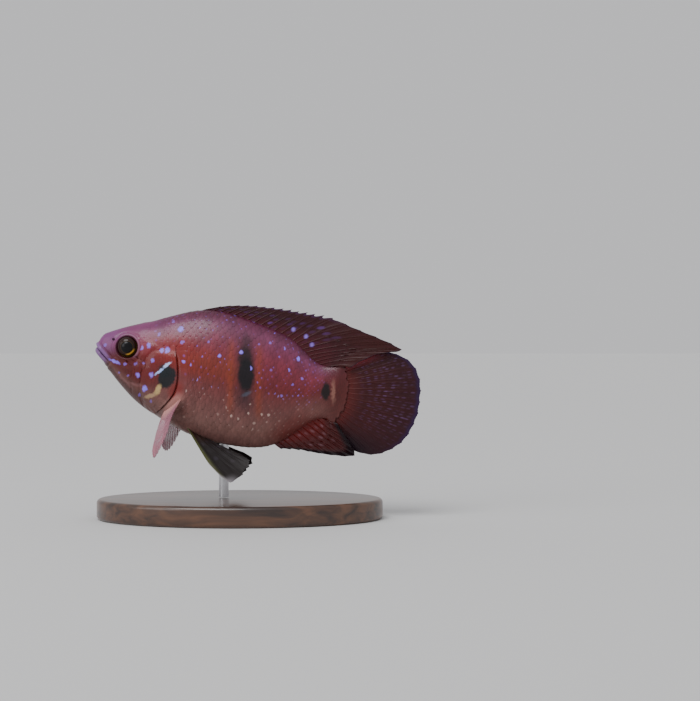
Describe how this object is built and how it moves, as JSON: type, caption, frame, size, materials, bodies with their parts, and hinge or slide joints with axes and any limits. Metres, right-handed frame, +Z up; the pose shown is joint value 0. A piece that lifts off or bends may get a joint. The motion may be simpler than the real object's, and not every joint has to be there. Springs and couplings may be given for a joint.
{
  "type": "cichlid fish model on a stand",
  "caption": "Life-size still model of a balloon red jewel cichlid, nose a little up, held by a short rod on a flat oval base.",
  "frame": {"origin": "middle of the base's underside, on the surface it stands on", "axes": "+Z up; the fish's head points to -X and its tail to +X; its left side faces -Y"},
  "size_m": [0.0797, 0.042, 0.0523],
  "materials": {
    "red_flesh": "painted cast skin, satin",
    "red_fin": "thin cast fin, satin",
    "pale_fin": "thin cast fin, satin",
    "eye": "gloss",
    "dark_wood": "satin lacquer",
    "steel": "brushed"
  },
  "bodies": {
    "root": {"head": "red_flesh", "lower_jaw": "red_flesh", "gill_cover_left": "red_flesh", "gill_cover_right": "red_flesh", "trunk": "red_flesh", "tail_stalk": "red_flesh", "dorsal_fin": "red_fin", "anal_fin": "red_fin", "tail_fin": "red_fin", "pelvic_fin_left": "pale_fin", "pelvic_fin_right": "pale_fin", "pectoral_fin_left": "pale_fin", "pectoral_fin_right": "pale_fin", "eye_left": "eye", "eye_right": "eye", "stand_base": "dark_wood", "stand_rod": "steel"}
  },
  "joints": []
}
